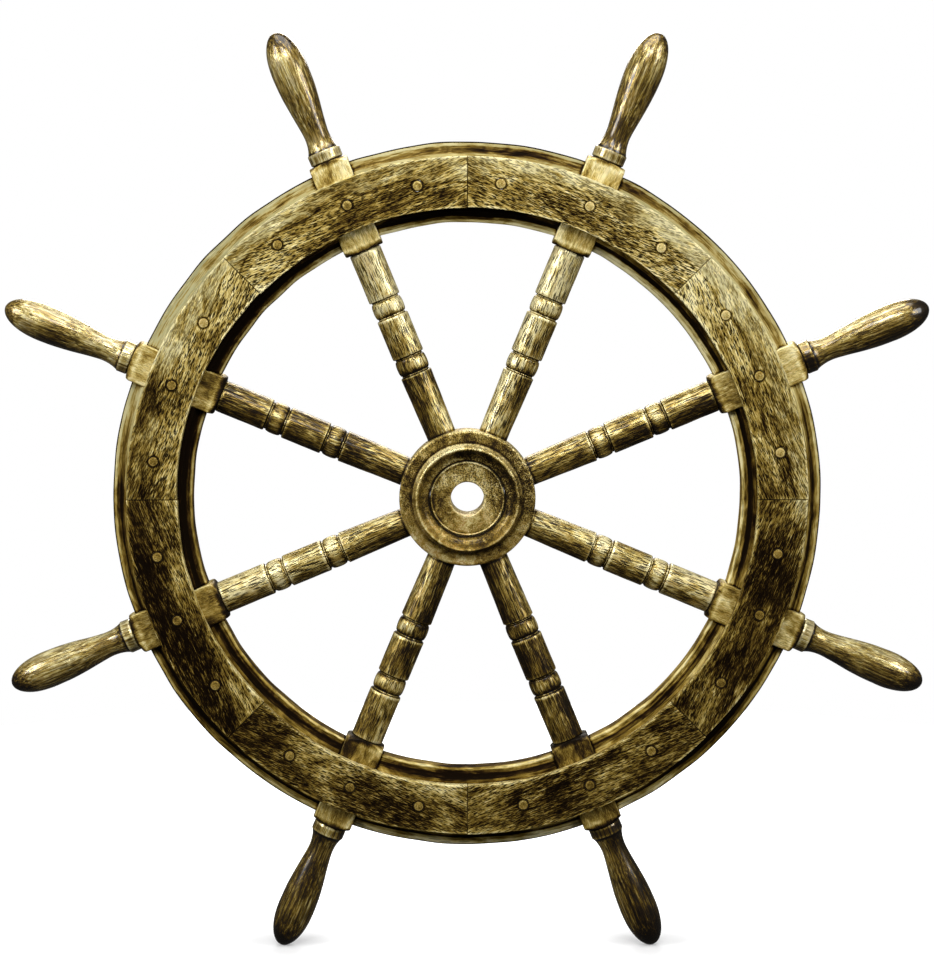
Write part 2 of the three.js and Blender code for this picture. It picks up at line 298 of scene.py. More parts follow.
def rounded(points, radii, steps=5):
    """A closed outline whose corners are rounded, each with its own radius."""
    outline = []
    for i, (corner, radius) in enumerate(zip(points, radii)):
        corner = Vector(corner)
        before = Vector(points[i - 1]) - corner
        after = Vector(points[(i + 1) % len(points)]) - corner
        if radius == 0:
            outline.append(tuple(corner))
            continue
        before.normalize()
        after.normalize()
        half = before.angle(after) / 2
        centre = corner + (before + after).normalized() * (radius / math.sin(half))
        start = (corner + before * (radius / math.tan(half)) - centre).normalized()
        end = (corner + after * (radius / math.tan(half)) - centre).normalized()
        for step in range(steps + 1):
            outline.append(tuple(centre + start.slerp(end, step / steps) * radius))
    return outline


def divided(here, after, count):
    """Points at equal steps from one place up to, but without, another."""
    here, after = np.array(here), np.array(after)
    return [tuple(here + (after - here) * i / count) for i in range(count)]


def smooth_curve(points, step):
    """A curve that passes smoothly through the points, with one point about every step."""
    p = np.array(points, float)
    tangents = np.gradient(p, axis=0)
    curve = []
    for i in range(len(p) - 1):
        count = max(1, round(float(np.linalg.norm(p[i + 1] - p[i])) / step))
        for t in np.arange(count) / count:
            start, end = 2 * t**3 - 3 * t**2 + 1, 3 * t**2 - 2 * t**3
            leave, arrive = t**3 - 2 * t**2 + t, t**3 - t**2
            curve.append(start * p[i] + leave * tangents[i] + end * p[i + 1] + arrive * tangents[i + 1])
    curve.append(p[-1])
    return [tuple(c) for c in curve]


def bored(piece, tools):
    """Cuts the tools out of the piece and deletes them."""
    for tool in tools:
        cut = piece.modifiers.new("bore", "BOOLEAN")
        cut.operation = "DIFFERENCE"
        cut.solver = "EXACT"
        cut.object = tool
    made = bpy.data.meshes.new_from_object(piece.evaluated_get(bpy.context.evaluated_depsgraph_get()))
    piece.modifiers.clear()
    piece.data = made
    for tool in tools:
        bpy.data.objects.remove(tool)


def peg_hole(node, sides=40):
    """A cutter for the hole of a peg, right through the rim."""
    middle = centre_of(node)
    radius, end = PEG_RADIUS + GAP, FACE_HALF + CUTTER_REACH
    return grid_object("cutter", lathe_rows([(radius, -end), (radius, end)], sides, (middle.x, middle.z)))


def wavy(x, y, seed, size=64):
    """Smooth random heights from -1 to 1 with a hill about every unit of x and y. They repeat after size."""
    table = np.random.RandomState(seed).rand(size, size) * 2 - 1
    x0, y0 = np.floor(x).astype(int), np.floor(y).astype(int)
    fx, fy = x - x0, y - y0
    fx, fy = fx * fx * (3 - 2 * fx), fy * fy * (3 - 2 * fy)

    def corner(i, j):
        return table[(x0 + i) % size, (y0 + j) % size]

    near = corner(0, 0) * (1 - fx) + corner(1, 0) * fx
    far = corner(0, 1) * (1 - fx) + corner(1, 1) * fx
    return near * (1 - fy) + far * fy


def ridge(distance, width):
    """1 where the distance is 0, and less further away: about a third at one width, in millimetres."""
    return np.exp(-((distance / width) ** 2))


def vectors_of(things, key):
    values = np.empty(len(things) * 3)
    things.foreach_get(key, values)
    return values.reshape(-1, 3)


def lift_of(piece):
    """How far each vertex's normal points up, from -1 to 1."""
    return vectors_of(piece.data.vertex_normals, "vector")[:, 2]


def points_of(piece):
    return vectors_of(piece.data.vertices, "co") / MM


def paint(piece, along, gold_and_light, wear_and_highlight, dirt_and_shade, gloss):
    """Stores where each vertex lies in its own piece of wood, how the paint lies on it and its painted light
    and shade.
    """
    count = len(piece.data.vertices)
    grain = piece.data.attributes.new("grain", "FLOAT_VECTOR", "POINT")
    grain.data.foreach_set("vector", np.ascontiguousarray(along * MM, np.float32).ravel())
    paint_and_light = piece.data.attributes.new("paint_and_light", "FLOAT_COLOR", "POINT")
    values = np.stack([np.broadcast_to(v, count) for v in (gold_and_light, wear_and_highlight, dirt_and_shade, gloss)], 1)
    paint_and_light.data.foreach_set("color", np.clip(values, 0, 1).astype(np.float32).ravel())


def finished(piece, material, node, crease=32):
    """Gives the piece its material and puts it in the place of its CAD node."""
    piece.data.materials.clear()
    piece.data.materials.append(material)
    piece.data.shade_smooth()
    piece.data.set_sharp_from_angle(angle=math.radians(crease))
    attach(piece, "root")
    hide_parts(node)


# -------- materials


def srgb(red, green, blue):
    """A colour given in display values from 0 to 255, turned into the shader's own values."""
    values = [v / 255 for v in (red, green, blue)]
    return tuple(v / 12.92 if v <= 0.04045 else ((v + 0.055) / 1.055) ** 2.4 for v in values) + (1,)


class Shader:
    """A material's nodes, added one by one."""

    def __init__(self, name):
        self.material = bpy.data.materials.new(name)
        self.material.use_nodes = True
        self.tree = self.material.node_tree
        self.surface = self.tree.nodes["Principled BSDF"]

    def put(self, socket, value):
        if isinstance(value, bpy.types.NodeSocket):
            self.tree.links.new(value, socket)
        else:
            socket.default_value = value

    def node(self, kind, inputs=(), **settings):
        made = self.tree.nodes.new("ShaderNode" + kind)
        for key, value in settings.items():
            setattr(made, key, value)
        for key, value in dict(inputs).items():
            self.put(made.inputs[key], value)
        return made

    def coated(self, values):
        """Sets the surface's inputs."""
        for name, value in values.items():
            self.put(self.surface.inputs[name], value)

    def maths(self, operation, *values):
        made = self.node("Math", operation=operation)
        for socket, value in zip(made.inputs, values):
            self.put(socket, value)
        return made.outputs[0]

    def stretched(self, where, scale):
        return self.node("Mapping", {"Vector": where, "Scale": scale}).outputs[0]

    def noise(self, where, scale, detail, rough, warp):
        """Noise whose lumps are 1 / scale metres long, scale being given for each axis of the wood."""
        place = self.stretched(where, scale)
        settings = {"Scale": 1.0, "Detail": detail, "Roughness": rough, "Distortion": warp}
        return self.node("TexNoise", {"Vector": place, **settings}).outputs[0]

    def dashes(self, where, scale):
        """The distance from the middle of the nearest of many short dashes that lie along the grain."""
        place = self.stretched(where, scale)
        return self.node("TexVoronoi", {"Vector": place, "Scale": 1.0}).outputs["Distance"]

    def window(self, value, low, high, to_low=0.0, to_high=1.0):
        """The value's range from low to high, stretched smoothly to the other and held outside it."""
        settings = {"Value": value, "From Min": low, "From Max": high, "To Min": to_low, "To Max": to_high}
        return self.node("MapRange", settings, interpolation_type="SMOOTHSTEP").outputs[0]

    def ramp(self, value, stops):
        made = self.node("ValToRGB", {"Fac": value})
        elements = made.color_ramp.elements
        elements.remove(elements[1])
        elements[0].position, elements[0].color = stops[0]
        for position, colour in stops[1:]:
            elements.new(position).color = colour
        return made.outputs[0]

    def mix(self, amount, first, second):
        made = self.node("Mix", data_type="RGBA")
        self.put(made.inputs[0], amount)
        self.put(made.inputs[6], first)
        self.put(made.inputs[7], second)
        return made.outputs[2]

    def times(self, first, second):
        return self.maths("MULTIPLY", first, second)

    def total(self, *values):
        result = values[0]
        for value in values[1:]:
            result = self.maths("ADD", result, value)
        return result

    def share(self, value, weight):
        """How far noise lies above or below its middle, times a weight."""
        return self.times(self.maths("SUBTRACT", value, 0.5), weight)


SOOT = srgb(12, 5, 1)
BITUMEN = srgb(40, 25, 7)
OLIVE = srgb(97, 76, 25)
OLD_GOLD = srgb(160, 134, 61)
PALE_GOLD = srgb(214, 194, 122)
CREAM = srgb(247, 234, 178)
RUST_GOLD = srgb(158, 106, 30)
ASH = srgb(150, 147, 110)
WALNUT = srgb(110, 76, 44)
# The colour for each amount of gold left on the wood.
PAINT = [(0.0, SOOT), (0.16, BITUMEN), (0.36, OLIVE), (0.58, OLD_GOLD), (0.8, PALE_GOLD), (1.0, CREAM)]


# What all the woods share.
STROKE_NOISE = 3.0, 0.62, 0.3  # detail, roughness and warp, as in each of these
STREAK_NOISE = 2.0, 0.6, 0.0
BLOT_SCALE, BLOT_NOISE = (38, 80, 80), (4.0, 0.62, 0.8)
FIELD_SCALE, FIELD_NOISE = (10, 24, 24), (2.0, 0.5, 0.5)
SPOT_SCALE, SPOT_NOISE = (70, 150, 150), (3.0, 0.6, 0.5)
WORN_FIELDS = (0.38, 0.56)  # the noise between which wood goes from half worn to fully worn
GOLD_SHELTERS = 0.1  # how much of that noise the thickest gold takes off
# Wear and painted highlights add to the gold; dirt and painted shade take it away.
WEAR_AND_HIGHLIGHT_ADDS = 0.42
DIRT_AND_SHADE_TAKES = 0.85
PORE_EDGE = (0.3, 0.46)  # between these distances from its middle a pore ends
SPOT_EDGE = 0.12
STAINED_GOLD = (0.35, 0.75)  # between these amounts of gold a stain sets in
BARE_GOLD = (0.05, 0.45)  # and between these the wood stops being bare
BARE_ROUGHNESS, PORE_ROUGHNESS, GLOSS_SMOOTHNESS, FIBRE_ROUGHNESS = 0.3, 0.2, 0.2, 0.15
BUMP_DISTANCE = 0.0005  # metres
GOLD_TINT = (1.0, 0.86, 0.62, 1)
VARNISH_ROUGHNESS = 0.15


def gilded_wood(name, *, grain, pore, pores_by, strokes_by, streaks_by, blots_by, fields_by, fibres_by=0.8,
                calm_by=0.0, stain, bump, rough, metal, specular, varnish):
    """Dark open-grained wood with gold paint rubbed over it, so that the pores stay dark and the ridges are
    bright. grain and pore are the (length, width) in millimetres of the wood's soft strokes and of its open
    pores. The values that end in by say how strongly each noise takes paint away or leaves it, and how far
    smooth paint is free of that. stain is a colour, the noise that it begins at and its strength."""
    stain, stain_at, stain_by = stain
    s = Shader(name)
    where = s.node("Attribute", attribute_name="grain").outputs["Vector"]
    paint_and_light = s.node("Attribute", attribute_name="paint_and_light")
    gold_and_light, wear_and_highlight, dirt_and_shade = s.node("SeparateColor", {"Color": paint_and_light.outputs["Color"]}).outputs
    gloss = paint_and_light.outputs["Alpha"]
    length, width = 1000 / grain[0], 1000 / grain[1]
    strokes = s.noise(where, (length, width, width), *STROKE_NOISE)
    fibres = s.noise(where, (length * 3, width * 2.2, width * 2.2), *STREAK_NOISE)
    streaks = s.noise(where, (length / 6, width / 2.6, width / 2.6), *STREAK_NOISE)
    blots = s.noise(where, BLOT_SCALE, *BLOT_NOISE)
    fields = s.noise(where, FIELD_SCALE, *FIELD_NOISE)
    worn = s.window(s.total(fields, s.times(gold_and_light, -GOLD_SHELTERS)), *WORN_FIELDS, 0.5, 1.0)
    calm = s.maths("SUBTRACT", 1.0, s.times(gloss, calm_by))
    amount = s.total(
        gold_and_light,
        s.share(streaks, streaks_by),
        s.share(fibres, fibres_by),
        s.times(s.share(strokes, -strokes_by), s.times(worn, calm)),
        s.share(blots, blots_by),
        s.share(fields, -fields_by),
        s.times(wear_and_highlight, WEAR_AND_HIGHLIGHT_ADDS),
        s.times(dirt_and_shade, -DIRT_AND_SHADE_TAKES),
    )
    colour = s.ramp(amount, PAINT)
    away = s.dashes(where, (1000 / pore[0], 1000 / pore[1], 1000 / pore[1]))
    off = s.total(away, s.share(strokes, -0.5), s.times(worn, -0.1), s.times(wear_and_highlight, 0.12))
    pores = s.window(off, *PORE_EDGE, 1.0, 0.0)
    colour = s.mix(s.times(s.times(pores, pores_by), calm), colour, SOOT)
    spots = s.window(s.noise(where, SPOT_SCALE, *SPOT_NOISE), stain_at, stain_at + SPOT_EDGE, 0.0, stain_by)
    thick = s.times(s.window(amount, *STAINED_GOLD), gloss)
    stained = s.times(s.times(spots, thick), s.maths("SUBTRACT", 1.0, pores))
    colour = s.mix(stained, colour, stain)
    bare = s.window(amount, *BARE_GOLD, BARE_ROUGHNESS, 0.0)
    in_pores = s.times(pores, PORE_ROUGHNESS)
    smooth = s.times(gloss, -GLOSS_SMOOTHNESS)
    height = s.total(s.times(pores, -1.0), s.share(fibres, 0.5), s.share(streaks, 0.6))
    settings = {"Strength": bump, "Distance": BUMP_DISTANCE, "Height": height}
    s.coated({
        "Base Color": colour,
        "Roughness": s.total(rough, bare, in_pores, smooth, s.share(fibres, FIBRE_ROUGHNESS)),
        "Normal": s.node("Bump", settings).outputs[0],
        "Metallic": metal,
        "Specular IOR Level": specular,
        "Specular Tint": GOLD_TINT,
        "Coat Weight": varnish,
        "Coat Roughness": VARNISH_ROUGHNESS,
    })
    return s.material


FACE_WOOD = gilded_wood(
    "face_felloe_wood", grain=(9, 0.65), pore=(5.5, 0.95), pores_by=0.95, strokes_by=2.3, streaks_by=0.6,
    blots_by=1.3, fields_by=1.4, calm_by=0.5, stain=(ASH, 0.4, 0.6),
    bump=1.0, rough=0.5, metal=0.3, specular=0.08, varnish=0.0)
MIDDLE_WOOD = gilded_wood(
    "middle_felloe_wood", grain=(16, 0.75), pore=(14, 1.4), pores_by=0.45, strokes_by=0.6, streaks_by=0.4,
    blots_by=1.2, fields_by=0.8, fibres_by=0.35, stain=(ASH, 0.2, 1.0),
    bump=0.5, rough=0.65, metal=0.05, specular=0.08, varnish=0.0)
SPOKE_WOOD = gilded_wood(
    "spoke_wood", grain=(12, 0.75), pore=(11, 1.0), pores_by=0.95, strokes_by=2.0, streaks_by=0.9,
    blots_by=1.3, fields_by=1.1, stain=(RUST_GOLD, 0.5, 0.8),
    bump=0.5, rough=0.33, metal=0.35, specular=0.25, varnish=0.25)
BLOCK_WOOD = gilded_wood(
    "spoke_block_wood", grain=(7, 0.7), pore=(7, 1.2), pores_by=0.28, strokes_by=0.7, streaks_by=0.25,
    blots_by=1.6, fields_by=0.9, stain=(RUST_GOLD, 0.5, 0.4),
    bump=0.4, rough=0.45, metal=0.25, specular=0.2, varnish=0.05)
GRIP_WOOD = gilded_wood(
    "spoke_grip_wood", grain=(16, 0.7), pore=(14, 0.85), pores_by=0.75, strokes_by=1.2, streaks_by=1.5,
    blots_by=0.9, fields_by=1.3, fibres_by=0.6, stain=(WALNUT, 0.45, 0.45),
    bump=0.3, rough=0.3, metal=0.35, specular=0.35, varnish=0.8)
PEG_WOOD = gilded_wood(
    "peg_wood", grain=(3, 1.2), pore=(2.4, 1.4), pores_by=0.35, strokes_by=0.4, streaks_by=0.5,
    blots_by=0.9, fields_by=0.3, stain=(RUST_GOLD, 0.45, 1.0),
    bump=0.4, rough=0.45, metal=0.3, specular=0.2, varnish=0.1)
HUB_WOOD = gilded_wood(
    "hub_wood", grain=(1.9, 0.95), pore=(1.7, 1.3), pores_by=0.95, strokes_by=3.0, streaks_by=0.4,
    blots_by=1.7, fields_by=0.8, calm_by=0.65, stain=(RUST_GOLD, 0.42, 0.6),
    bump=0.5, rough=0.4, metal=0.35, specular=0.25, varnish=0.15)

# -------- the rim


def felloe_rows(section, centre, trimmed, stations):
    """Rows of points for a section of (radius, depth) swept over one pitch about centre. trimmed gives the
    angle that each end is short of it at a radius. The section shrinks a little at its rounded ends."""

    def ends_at(radius):
        trim = trimmed(radius)
        return centre - PITCH / 2 + trim, centre + PITCH / 2 - trim

    section = np.array(section)
    middle = (section.max(0) + section.min(0)) / 2
    half = (section.max(0) - section.min(0)) / 2
    near_end = [END_ROUND * (1 - math.cos(math.radians(a))) for a in (0, 45, 90)]
    insets = [END_ROUND * (1 - math.sin(math.radians(a))) for a in (0, 45, 90)]
    first, last = ends_at(middle[0])
    length = math.radians(last - first) * middle[0]
    between = np.linspace(near_end[-1], length - near_end[-1], stations)[1:-1]
    distances = near_end + list(between) + [length - d for d in near_end[::-1]]
    insets = insets + [0.0] * (stations - 2) + insets[::-1]
    rows = []
    for distance, inset in zip(distances, insets):
        row = middle + (section - middle) * (1 - inset / half)
        radii = row[:, 0]
        first, last = np.array([ends_at(r) for r in radii]).T
        angles = np.radians(first + (last - first) * (distance / length))
        rows.append(np.stack([radii * np.sin(angles), row[:, 1], radii * np.cos(angles)], 1))
    return rows


def arc(centre, radius, start, end, steps):
    """Points of an arc in the section's plane, in degrees from the radius axis."""
    angles = np.radians(np.linspace(start, end, steps + 1))
    return [(centre[0] + radius * math.cos(a), centre[1] + radius * math.sin(a)) for a in angles]


def middle_section(cove_steps=10, lip_steps=4):
    """The rim's middle layer, from the middle of its inner edge round to there again."""
    lip = MIDDLE_HALF - COVE
    inner = RIM_INNER + INNER_LIP
    outer = RIM_OUTER - OUTER_LIP
    points = [(RIM_INNER, 0.0), (RIM_INNER, lip / 2)]
    points += arc((RIM_INNER + LIP_ROUND, lip - LIP_ROUND), LIP_ROUND, 180, 90, lip_steps)
    points += arc((inner, MIDDLE_HALF), COVE, -90, 0, cove_steps)
    points += [(FACE_INNER + UNDER_FACE, MIDDLE_HALF), (FACE_OUTER - UNDER_FACE, MIDDLE_HALF)]
    points += arc((outer, MIDDLE_HALF), COVE, 180, 270, cove_steps)
    points += arc((RIM_OUTER - LIP_ROUND, lip - LIP_ROUND), LIP_ROUND, 90, 0, lip_steps)
    points += [(RIM_OUTER, lip / 2), (RIM_OUTER, 0.0)]
    return points + [(r, -y) for r, y in points[-2:0:-1]]


def middle_felloe(k, stations=90):
    name = f"middle_felloe_{k + 1}"
    centre = k * PITCH
    half_gap = BLOCK_WIDTH / 2 + GAP

    def beside_spoke(radius):
        return math.degrees(math.asin(half_gap / radius))

    piece = grid_object(f"look_{name}", felloe_rows(middle_section(), centre, beside_spoke, stations))
    bored(piece, [peg_hole(f"joint_peg_{k + 1}{end}") for end in "ab"])

    # Its edges wander a little, and its faces stay flat.
    points = points_of(piece)
    radius, angle = polar(points)
    depth = np.abs(points[:, 1])
    wander = 0.5 * wavy(angle * 0.21, points[:, 1] * 0 + 3.0, MIDDLE_SEED + k)
    visible = (depth < MIDDLE_HALF - 0.2).astype(float)
    points[:, [0, 2]] += points[:, [0, 2]] / radius[:, None] * (wander * visible)[:, None]
    piece.data.vertices.foreach_set("co", (points * MM).ravel())

    # A cove that faces up is 1 and one that faces down is -1.
    face_middle, face_half = (FACE_INNER + FACE_OUTER) / 2, (FACE_OUTER - FACE_INNER) / 2
    lip = MIDDLE_HALF - COVE
    inside = radius < face_middle
    upward = np.cos(np.radians(angle)) * np.where(inside, -1, 1)
    in_cove = depth > lip + 1.2
    ash = round_the_wheel(COVE_ASH, angle) * np.where(inside, 0.5, 1.0)
    gold_and_light = np.where(inside, round_the_wheel(INNER_LIP_GOLD, angle), round_the_wheel(OUTER_COVE_GOLD, angle))

    # The lips are worn pale at their edges, and the outer lips are paler where they face up, as a painted
    # highlight.
    at_lip = (radius < RIM_INNER + 3) | ((radius > RIM_OUTER - 4) & (radius < RIM_OUTER - OUTER_BAND))
    lip_wear_and_highlight = ridge(depth - lip, 1.2) * at_lip * np.where(inside, 1.0, 0.75 + 0.25 * upward)
    corner_wear = ridge(depth - MIDDLE_HALF, 1.0) * 0.7

    # Painted shade along the edges of the faces, where they stand over the middle layer.
    shade_under_face = ridge(np.abs(radius - face_middle) - face_half, 0.9) * (0.8 - 0.3 * ash)
    # Painted shade in the coves that face down; the inner coves are also made darker where they face up, at
    # the bottom.
    facing_down_shade = np.where(inside, 1.6 * np.clip(0.6 - upward, 0, 1), np.clip(0.1 - 1.4 * upward, 0, 1))
    cove_shade = facing_down_shade * in_cove + 0.4 * np.clip(upward, 0, 1) * inside * in_cove
    below_lip = ridge(depth - lip - 1.7, 0.7) * (0.35 - 0.25 * ash)
    # Painted shade on the felloe beside the spokes' blocks, which stand proud of it.
    from_block = radius * np.sin(np.radians(np.abs(angle % PITCH - PITCH / 2))) - BLOCK_WIDTH / 2
    shade_beside_block = ridge(from_block - 0.2, 0.7) * 0.7
    outer_band = (radius > RIM_OUTER - OUTER_BAND) * (0.35 + 0.6 * (depth > lip - 4.5))
    dirt_and_shade = shade_under_face + cove_shade * 0.6 + below_lip + shade_beside_block + outer_band

    arc_length = np.radians(turned_from(angle, centre)) * radius.mean()
    bent = np.stack([arc_length, radius, points[:, 1]], 1)
    paint(piece, bent + k * MIDDLE_APART, gold_and_light, lip_wear_and_highlight + corner_wear, dirt_and_shade, ash)
    finished(piece, MIDDLE_WOOD, name)


def face_felloe(side, k, stations=240):
    """side is front or rear."""
    name = f"{side}_felloe_{k + 1}"
    sign = -1 if side == "front" else 1
    seed = k + (0 if side == "front" else REAR_SEED)
    centre = spoke_angle(k)
    shift = np.random.RandomState(seed).uniform(-FACE_SHIFT, FACE_SHIFT, 2)
    inner, outer = FACE_INNER + shift[0], FACE_OUTER + shift[1] - FACE_TRIM
    face, back = sign * FACE_HALF, sign * (MIDDLE_HALF + 0.05)
    corners = [(inner, back), (inner, face), (outer, face), (outer, back)]
    outline = rounded(corners, [0, FACE_ROUND, FACE_ROUND, 0], 4)
    section = []
    for here, after in zip(outline, outline[1:] + outline[:1]):
        on_face = abs(here[1] - face) < 0.01 and abs(after[1] - face) < 0.01
        section += divided(here, after, max(1, round(math.dist(here, after) / 0.95)) if on_face else 1)

    def at_joint(radius):
        return math.degrees(GAP / radius)

    piece = grid_object(f"look_{name}", felloe_rows(section, centre, at_joint, stations))
    pegs = [f"joint_peg_{k + 1}b", f"joint_peg_{(k + 1) % SPOKES + 1}a", f"spoke_peg_{k + 1}"]
    bored(piece, [peg_hole(node) for node in pegs])

    # The face is worn hollow between the harder rings of its grain, and its edges wander a little.
    points = points_of(piece)
    local = in_spoke_frame(points, centre)
    along, across = local[:, 1], local[:, 0]
    radius, angle = polar(points)
    fine = wavy(along / 17 + 9, across / 1.9, seed + FINE_SEED)
    broad = wavy(along / 40, across / 6, seed + BROAD_SEED)
    hollow = fine * 0.6 + broad * 0.4
    rim_edge = np.minimum(radius - inner, outer - radius)
    end_edge = (PITCH / 2 - np.abs(turned_from(angle, centre))) * np.radians(1) * radius
    edge = np.minimum(rim_edge, end_edge)
    on_face = np.abs(points[:, 1] - face) < 0.05
    sink = np.clip(hollow + 0.15, 0, 1) * HOLLOW_DEPTH * np.clip((edge - 0.8) / 1.5, 0, 1)
    points[:, 1] -= sign * sink * on_face
    wander = 0.35 * wavy(angle * 0.3, angle * 0, seed + FACE_EDGE_SEED) * ~on_face
    points[:, [0, 2]] *= (1 + wander / radius)[:, None]
    piece.data.vertices.foreach_set("co", (points * MM).ravel())

    wear_and_highlight = ridge(rim_edge - 0.6, 1.2) * 0.75 + ridge(end_edge - 0.9, 0.8) * 0.25
    dirt_and_shade = np.clip(hollow, 0, 1) * 0.15 + ridge(end_edge, 0.35) * 0.8
    for node in pegs:
        at = centre_of(node)
        away = np.hypot(points[:, 0] - at.x, points[:, 2] - at.z) - PEG_RADIUS - 0.4
        dirt_and_shade = dirt_and_shade + ridge(away, 0.5) * 0.45
        wear_and_highlight = wear_and_highlight + ridge(away - 1.6, 0.9) * 0.1

    # The gold goes from the inner list to the middle one and on to the outer one across the face.
    outward = np.clip((radius - inner) / (outer - inner), 0, 1)
    near, middle, far = (round_the_wheel(values, angle) for values in FACE_GOLD)
    step = np.clip((outward - 0.15) / 0.35, 0, 2)
    gold_and_light = np.where(step < 1, near + (middle - near) * step, middle + (far - middle) * (step - 1))
    boundary = outward - 0.6 + 0.16 * wavy(angle * 0.17, angle * 0, seed + SMOOTH_SEED)
    smooth = round_the_wheel(FACE_SMOOTH, angle)
    dirt_and_shade = dirt_and_shade + ridge(boundary, 0.022) * smooth * 0.5
    gloss = np.clip(boundary / 0.08, 0, 1) * smooth
    paint(piece, local[:, [1, 0, 2]] + seed * FACE_APART, gold_and_light, wear_and_highlight, dirt_and_shade, gloss)
    finished(piece, FACE_WOOD, name)


def peg(node, sides=36):
    """A wooden peg, cut flush and a little domed, with its end grain showing."""
    middle = centre_of(node)
    radius, end = PEG_RADIUS - 0.1, FACE_HALF - 0.1
    half = [(0.0, end + 0.25), (radius * 0.5, end + 0.2), (radius - 1.2, end + 0.05),
            (radius - 0.4, end - 0.15), (radius, end - 0.6), (radius, end / 3)]
    profile = half + [(r, -y) for r, y in half[::-1]]
    piece = grid_object(f"look_{node}", lathe_rows(profile, sides, (middle.x, middle.z)), cap=False)
    points = points_of(piece)
    seed = sum(ord(c) for c in node)
    angle = math.degrees(math.atan2(middle.x, middle.z))
    around = float(round_the_wheel(FACE_GOLD[2], [angle])[0])
    gold_and_light = max(PEG_SHARE * around + np.random.RandomState(seed).uniform(0.0, PEG_SPREAD), PEG_LEAST)
    away = np.hypot(points[:, 0] - middle.x, points[:, 2] - middle.z)
    wear_and_highlight = ridge(away - radius + 0.9, 0.8) * 0.4
    dirt_and_shade = np.clip((away - radius + 0.7) / 0.4, 0, 1)
    end_grain = in_spoke_frame(points, angle)[:, [2, 0, 1]]
    paint(piece, end_grain + seed * PEG_APART, gold_and_light, wear_and_highlight, dirt_and_shade, 0.3)
    finished(piece, PEG_WOOD, node)


# -------- the spokes


class Outline:
    """A spoke's turned outline: distance from the wheel's axis, radius, wear with painted highlights and dirt
    with painted shade, point by point.
    """

    def __init__(self):
        self.points = []

    def add(self, at, radius, wear_and_highlight=0.0, dirt_and_shade=0.0):
        self.points.append((at, radius, wear_and_highlight, dirt_and_shade))

    def corner(self, end, way, radius, share):
        """A point of a barrel's rounded corner, from 0 at its foot to 1 on the barrel. Its foot has painted
        shade and its edge wear.
        """
        turn = share * math.pi / 2
        inset, drop = BARREL_ROUND * (1 - math.cos(turn)), BARREL_ROUND * (1 - math.sin(turn))
        self.add(end + way * inset, radius - drop, share, 1 - share)

    def barrel(self, start, end, first, last):
        """A plain stretch between two radii, with rounded corners at its ends."""
        for share in (0.0, 0.3, 1.0):
            self.corner(start, 1, first, share)
        count = max(2, round((end - start) / 3.5))
        for i in range(1, count):
            share = i / count
            self.add(start + (end - start) * share, first + (last - first) * share)
        for share in (1.0, 0.3, 0.0):
            self.corner(end, -1, last, share)

    def groove(self, start, end):
        """A narrow fillet at the bottom of the groove beside a bead, pale in its middle with painted shade in
        its corners.
        """
        self.add(start + 0.1, GROOVE_RADIUS - 0.2, 0.2, 0.7)
        self.add((start + end) / 2, GROOVE_RADIUS + 0.15, 1.0, 0.0)
        self.add(end - 0.1, GROOVE_RADIUS - 0.2, 0.2, 0.7)

    def bead(self, start, end):
        middle, half = (start + end) / 2, (end - start) / 2
        for angle in range(-84, 85, 12):
            side = math.sin(math.radians(angle))
            swell = math.cos(math.radians(angle)) ** 0.8
            radius = GROOVE_RADIUS + (BEAD_RADIUS - GROOVE_RADIUS) * swell
            # Wear and a painted highlight along the bead's crest, and painted shade towards its ends.
            self.add(middle + half * side, radius, 0.7 * ridge(side, 0.6), 0.5 * side**4)

    def block_end(self, end, way, shares):
        """One of the block's turned ends. The shares go from 0 at its foot to 1 where the square begins. It
        has painted shade towards its foot and wear towards the square.
        """
        for share in shares:
            swell = share**BLOCK_SWELL
            radius = BLOCK_SHOULDER + (BLOCK_CORNER - BLOCK_SHOULDER) * swell
            self.add(end + way * BLOCK_TURNED * share, radius, 0.4 * swell, 0.7 * (1 - swell))

    def block(self):
        """The square block. Only its turned ends show in the outline: the square cuts the rest."""
        self.block_end(BLOCK_START, 1, np.linspace(0, 1, 12))
        for share in np.linspace(0.1, 0.9, 9):
            self.add(BLOCK_START + (BLOCK_END - BLOCK_START) * share, BLOCK_CORNER + 4)
        self.block_end(BLOCK_END, -1, np.linspace(1, 0, 12))

    def grip(self):
        """The hand grip, with painted shade at its foot beside the collar, and dirt at its round tip."""
        for at, radius in smooth_curve(GRIP_OUTLINE, 2.0):
            self.add(at, radius, 0.0, max(0.0, 0.8 - (at - GRIP_OUTLINE[0][0]) / 2))
        start, widest = GRIP_OUTLINE[-1]
        for angle in range(6, 90, 6):
            share = math.sin(math.radians(angle))
            radius = widest * (1 - share**GRIP_END_POWER) ** 0.5
            self.add(start + (TIP_RADIUS - start) * share, radius, 0.0, max(0.0, 1.4 * share - 0.65))
        self.add(TIP_RADIUS - 0.1, 1.4, 0.0, 0.75)
        self.add(TIP_RADIUS, 0.02, 0.0, 0.75)


